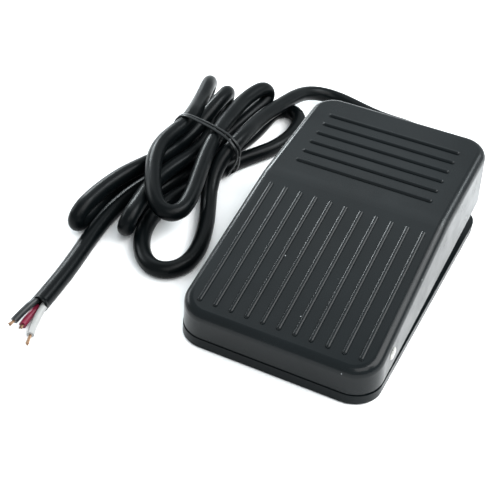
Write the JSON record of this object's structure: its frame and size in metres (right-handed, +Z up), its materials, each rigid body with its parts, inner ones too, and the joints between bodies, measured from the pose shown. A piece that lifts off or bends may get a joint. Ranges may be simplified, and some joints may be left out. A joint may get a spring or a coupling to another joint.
{
  "type": "sewing machine pedal",
  "caption": "Low foot switch with a ribbed pedal cover that tips on a steel pin over a snap-action switch in a flat base, with a tied cord whose cores end bare.",
  "frame": {"origin": "centre of the sole's underside, on the surface the pedal stands on, the cord left out", "axes": "+Z up, +Y towards the rear where the cord leaves, +X to the right seen from the front"},
  "size_m": [0.1203, 0.1794, 0.0326],
  "materials": {
    "cover_plastic": "satin",
    "tray_plastic": "matt",
    "sole_rubber": "matt",
    "pin_steel": "turned",
    "bush_nylon": "natural nylon",
    "switch_plastic": "moulded",
    "side_cover_plastic": "moulded",
    "plunger_plastic": "polished",
    "lever_steel": "rolled sheet",
    "screw_steel": "zinc plated",
    "spring_steel": "drawn wire",
    "plate_steel": "zinc plated",
    "terminal_brass": "stamped",
    "pad_rubber": "matt",
    "gland_rubber": "satin",
    "cord_jacket": "soft gloss",
    "tie_plastic": "satin",
    "core_black": "soft gloss",
    "core_red": "soft gloss",
    "core_white": "soft gloss",
    "bare_copper": "twisted copper strands",
    "sleeve_plastic": "shrunk sleeve"
  },
  "bodies": {
    "base": {"base_tray": "tray_plastic", "rubber_sole": "sole_rubber", "hinge_bush_left": "bush_nylon", "hinge_bush_right": "bush_nylon", "switch_case": "switch_plastic", "switch_side_cover": "side_cover_plastic", "lever_pin": "pin_steel", "switch_screws": "screw_steel", "return_spring_left": "spring_steel", "return_spring_right": "spring_steel", "stop_plate": "plate_steel", "stop_plate_screws": "screw_steel", "cord_gland": "gland_rubber", "cord_inner_length": "cord_jacket", "cord_clamp": "tray_plastic", "cord_clamp_screws": "screw_steel", "solder_sleeves": "sleeve_plastic", "cord_lead": "cord_jacket", "cord_hank": "cord_jacket", "cord_tail": "cord_jacket", "cord_tie": "tie_plastic", "terminal_common": "terminal_brass", "terminal_open": "terminal_brass", "terminal_closed": "terminal_brass", "lead_black": "core_black", "lead_red": "core_red", "lead_white": "core_white", "core_black": "core_black", "core_red": "core_red", "core_white": "core_white", "strands_black": "bare_copper", "strands_red": "bare_copper", "strands_white": "bare_copper"},
    "pedal": {"pedal_cover": "cover_plastic", "hinge_pin": "pin_steel", "actuator_pad": "pad_rubber", "stop_hook": "plate_steel", "hook_screw": "screw_steel"},
    "switch_lever": {"switch_lever": "lever_steel"},
    "switch_plunger": {"switch_plunger": "plunger_plastic"}
  },
  "joints": [
    {"name": "pedal_hinge", "type": "hinge", "parent": "base", "child": "pedal", "pos_m": [0, -0.0377, 0.0103], "axis": [-1, 0, 0], "range_deg": [0, 6], "stiffness_Nm_per_rad": 1, "springref_deg": -6.88, "deforming": ["return_spring_left", "return_spring_right"]},
    {"name": "lever_hinge", "type": "hinge", "parent": "base", "child": "switch_lever", "pos_m": [0, 0.0265, 0.01995], "axis": [1, 0, 0], "range_deg": [0, 9.1]},
    {"name": "plunger_slide", "type": "slide", "parent": "base", "child": "switch_plunger", "axis": [0, 0, -1], "range_m": [0, 0.001]}
  ],
  "couplings": [
    {"joint": "lever_hinge", "follows": "pedal_hinge", "ratio": 1.5},
    {"joint": "plunger_slide", "follows": "pedal_hinge", "m_per_rad": 0.00945}
  ]
}
